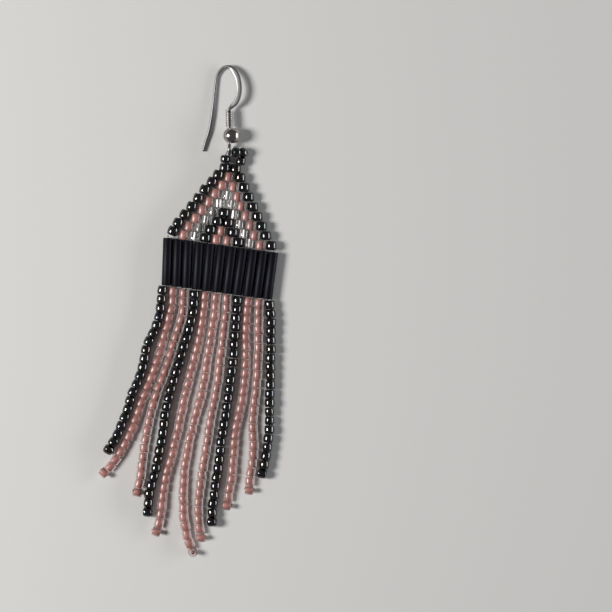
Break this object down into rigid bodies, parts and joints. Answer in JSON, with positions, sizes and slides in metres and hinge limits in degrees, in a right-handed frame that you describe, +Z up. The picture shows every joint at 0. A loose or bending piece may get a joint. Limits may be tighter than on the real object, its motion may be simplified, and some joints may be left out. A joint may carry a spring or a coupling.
{
  "type": "beaded fringe earring",
  "caption": "Drop earring of woven seed beads: a stepped triangle, a row of tube beads and a long fringe, on a wire ear hook with a coil and a ball.",
  "frame": {"origin": "middle of the earring's outline, on the surface that it lies on", "axes": "+Z up from that surface, +Y along the earring towards the top of the ear hook, +X to the right as seen from above"},
  "size_m": [0.034, 0.0924, 0.0032],
  "materials": {
    "silver_wire": "satin silver-coloured wire",
    "polished_silver": "polished silver-coloured metal",
    "gunmetal_beads": "dark metallic lustre on glass",
    "pink_beads": "clear glass with a dusty pink lining",
    "crystal_beads": "clear glass with a silver lining",
    "woven_beads": "glossy seed beads of three kinds",
    "black_bugles": "matte black glass",
    "thread": "fine waxed beading thread"
  },
  "bodies": {
    "root": {"ear_hook": "silver_wire", "hook_coil": "silver_wire", "hook_ball": "polished_silver", "bead_loop": "gunmetal_beads", "beaded_panel": "woven_beads", "fringe_thread": "thread", "bugle_01": "black_bugles", "bugle_02": "black_bugles", "bugle_03": "black_bugles", "bugle_04": "black_bugles", "bugle_05": "black_bugles", "bugle_06": "black_bugles", "bugle_07": "black_bugles", "bugle_08": "black_bugles", "bugle_09": "black_bugles", "bugle_10": "black_bugles", "bugle_11": "black_bugles", "strand_01": "gunmetal_beads", "strand_02": "pink_beads", "strand_03": "pink_beads", "strand_04": "gunmetal_beads", "strand_05": "pink_beads", "strand_06": "pink_beads", "strand_07": "pink_beads", "strand_08": "gunmetal_beads", "strand_09": "pink_beads", "strand_10": "pink_beads", "strand_11": "gunmetal_beads"}
  },
  "joints": []
}
